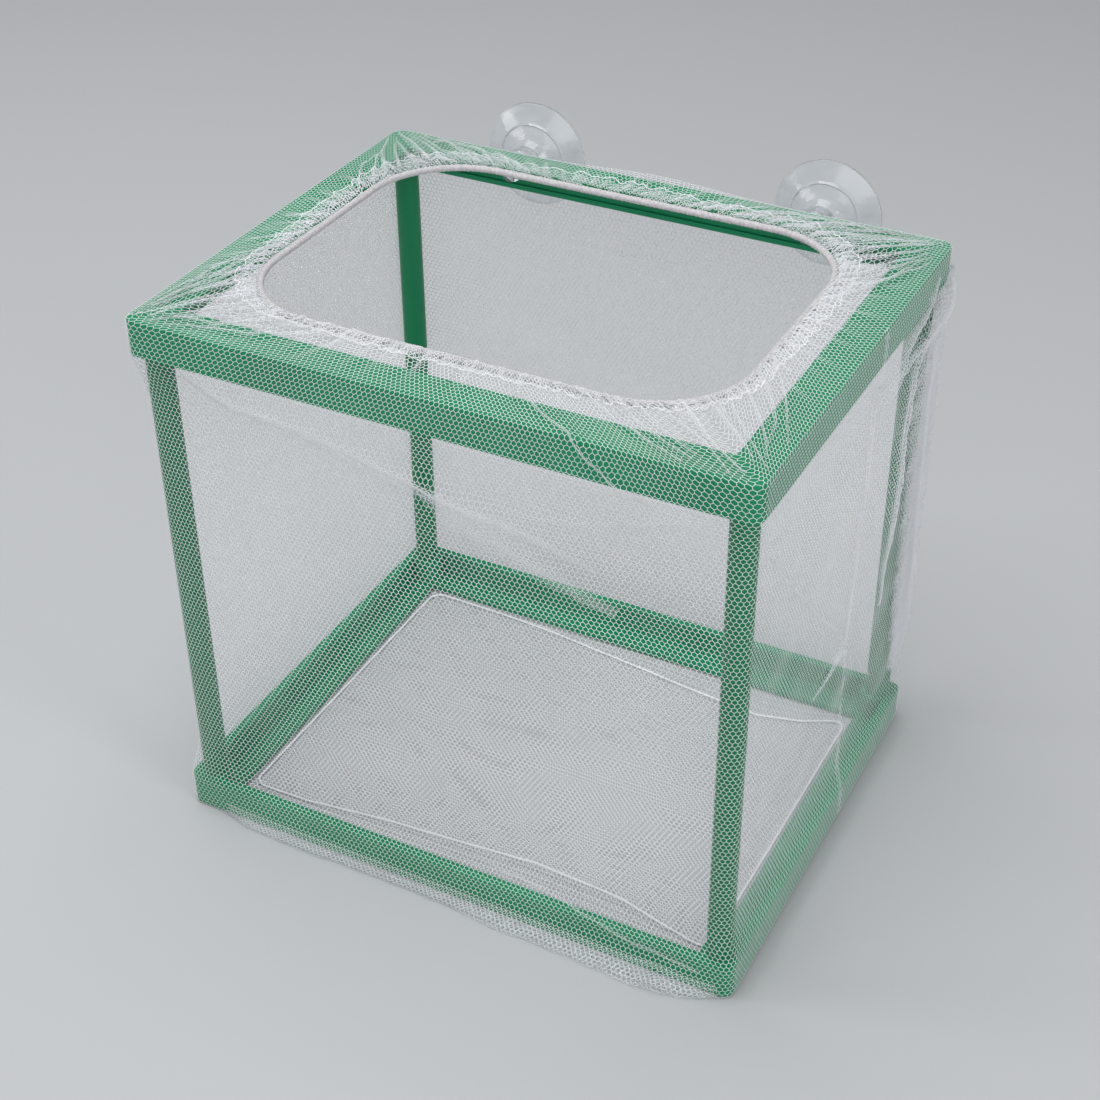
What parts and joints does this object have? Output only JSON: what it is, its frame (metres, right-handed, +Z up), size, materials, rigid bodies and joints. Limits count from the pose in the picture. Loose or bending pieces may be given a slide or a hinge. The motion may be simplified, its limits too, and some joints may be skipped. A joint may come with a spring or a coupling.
{
  "type": "fish breeding box",
  "caption": "Net box on a plastic frame that hangs in an aquarium by suction cups, with a gathered elastic mouth on top.",
  "frame": {"origin": "on the surface that the box stands on, under the middle of the plastic frame", "axes": "+X along the long side to the right, +Y to the back where the suction cups are, +Z up"},
  "size_m": [0.1666, 0.1472, 0.164],
  "materials": {
    "green_plastic": "moulded green plastic with a soft gloss",
    "post_plastic": "extruded green plastic rod",
    "net": "fine white knitted net",
    "hem": "gathered white net casing",
    "elastic": "white elastic cord",
    "thread": "white overlock thread",
    "clear_pvc": "clear soft PVC"
  },
  "bodies": {
    "frame": {"top_ring": "green_plastic", "bottom_ring": "green_plastic", "post_front_left": "post_plastic", "post_front_right": "post_plastic", "post_back_left": "post_plastic", "post_back_right": "post_plastic", "net_front": "net", "net_back": "net", "net_left": "net", "net_right": "net", "net_floor": "net", "net_collar": "net", "net_front_slack": "net", "hem_casing": "hem", "elastic_cord": "elastic", "hem_stitch": "thread", "floor_seam": "thread", "side_seam": "thread"},
    "cup_left": {"suction_cup_left": "clear_pvc"},
    "cup_right": {"suction_cup_right": "clear_pvc"}
  },
  "joints": [
    {"name": "cup_left_swivel", "type": "hinge", "parent": "frame", "child": "cup_left", "pos_m": [-0.044, 0.064, 0.14905], "axis": [0, 1, 0], "continuous": true},
    {"name": "cup_right_swivel", "type": "hinge", "parent": "frame", "child": "cup_right", "pos_m": [0.044, 0.064, 0.14905], "axis": [0, 1, 0], "continuous": true}
  ]
}
